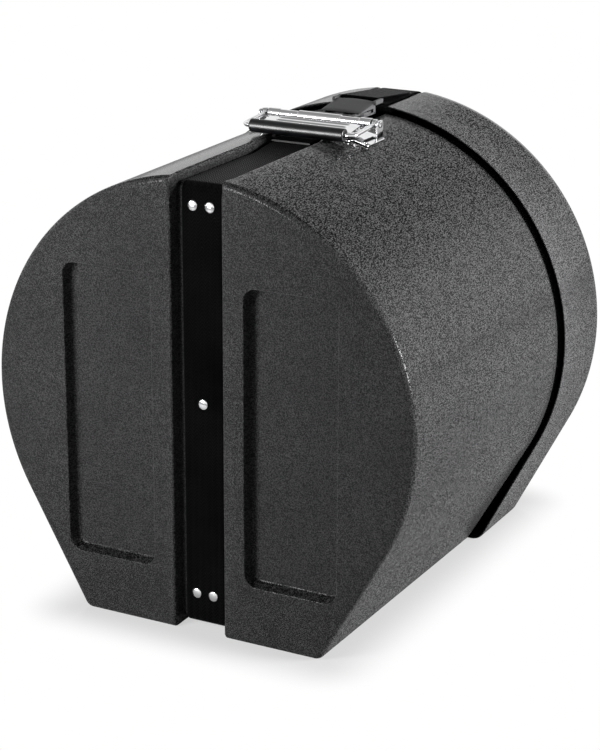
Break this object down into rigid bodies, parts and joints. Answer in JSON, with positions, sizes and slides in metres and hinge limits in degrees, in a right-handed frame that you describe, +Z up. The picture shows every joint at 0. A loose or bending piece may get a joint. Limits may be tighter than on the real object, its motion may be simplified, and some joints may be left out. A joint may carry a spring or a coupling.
{
  "type": "bass drum case",
  "caption": "Round moulded case on a flat foot, with a pull-off lid, a riveted strap with a side release buckle and a folding spring handle.",
  "frame": {"origin": "on the floor, at the centre of the footprint", "axes": "+X to the case's right seen from the front, +Y from the front face towards the lid, +Z up"},
  "size_m": [0.553, 0.5548, 0.5558],
  "materials": {
    "grained_polyethylene": "fine pebbled grain",
    "lid_polyethylene": "fine pebbled grain",
    "black_webbing": "plain woven webbing, no lettering",
    "rivet_nickel": "bright nickel",
    "chrome_plate": "bright plate",
    "grip_rubber": "smooth, slightly glossy",
    "buckle_acetal": "fine satin",
    "spring_steel": "plain wire",
    "charcoal_foam": "open cell foam"
  },
  "bodies": {
    "base": {"base_shell": "grained_polyethylene", "base_strap": "black_webbing", "front_rivet_top_left": "rivet_nickel", "front_rivet_top_right": "rivet_nickel", "front_rivet_middle": "rivet_nickel", "front_rivet_low_left": "rivet_nickel", "front_rivet_low_right": "rivet_nickel", "front_washer_top_left": "rivet_nickel", "front_washer_top_right": "rivet_nickel", "front_washer_middle": "rivet_nickel", "front_washer_low_left": "rivet_nickel", "front_washer_low_right": "rivet_nickel", "bottom_rivet_left": "rivet_nickel", "bottom_rivet_right": "rivet_nickel", "bottom_washer_left": "rivet_nickel", "bottom_washer_right": "rivet_nickel", "handle_base_plate": "chrome_plate", "handle_rivet_left_front": "rivet_nickel", "handle_rivet_left_rear": "rivet_nickel", "handle_rivet_right_front": "rivet_nickel", "handle_rivet_right_rear": "rivet_nickel", "handle_washer_left_front": "rivet_nickel", "handle_washer_left_rear": "rivet_nickel", "handle_washer_right_front": "rivet_nickel", "handle_washer_right_rear": "rivet_nickel", "handle_cover": "chrome_plate", "handle_pin": "chrome_plate", "handle_spring_left": "spring_steel", "handle_spring_right": "spring_steel", "buckle_male": "buckle_acetal", "base_pad_left": "charcoal_foam", "base_pad_right": "charcoal_foam"},
    "lid": {"lid_shell": "lid_polyethylene", "lid_strap": "black_webbing", "lid_rivet_top_left": "rivet_nickel", "lid_rivet_top_right": "rivet_nickel", "lid_rivet_middle": "rivet_nickel", "lid_rivet_low_left": "rivet_nickel", "lid_rivet_low_right": "rivet_nickel", "lid_washer_top_left": "rivet_nickel", "lid_washer_top_right": "rivet_nickel", "lid_washer_middle": "rivet_nickel", "lid_washer_low_left": "rivet_nickel", "lid_washer_low_right": "rivet_nickel", "lid_pad": "charcoal_foam", "buckle_female": "buckle_acetal"},
    "bail": {"handle_bail": "chrome_plate", "handle_grip": "grip_rubber"},
    "release_left": {"buckle_prong_left": "buckle_acetal"},
    "release_right": {"buckle_prong_right": "buckle_acetal"}
  },
  "joints": [
    {"name": "lid_slide", "type": "slide", "parent": "base", "child": "lid", "axis": [0, 1, 0], "range_m": [0, 0.15]},
    {"name": "handle_lift", "type": "hinge", "parent": "base", "child": "bail", "pos_m": [0, 0.01565, 0.5472], "axis": [-1, 0, 0], "range_deg": [0, 95], "stiffness_Nm_per_rad": 0.05, "springref_deg": -11.46},
    {"name": "release_left", "type": "hinge", "parent": "base", "child": "release_left", "pos_m": [-0.0205, 0.06325, 0.543], "axis": [0, 0, -1], "range_deg": [0, 8], "stiffness_Nm_per_rad": 0.5, "springref_deg": -2.86},
    {"name": "release_right", "type": "hinge", "parent": "base", "child": "release_right", "pos_m": [0.0205, 0.06325, 0.543], "axis": [0, 0, 1], "range_deg": [0, 8], "stiffness_Nm_per_rad": 0.5, "springref_deg": -2.86}
  ]
}
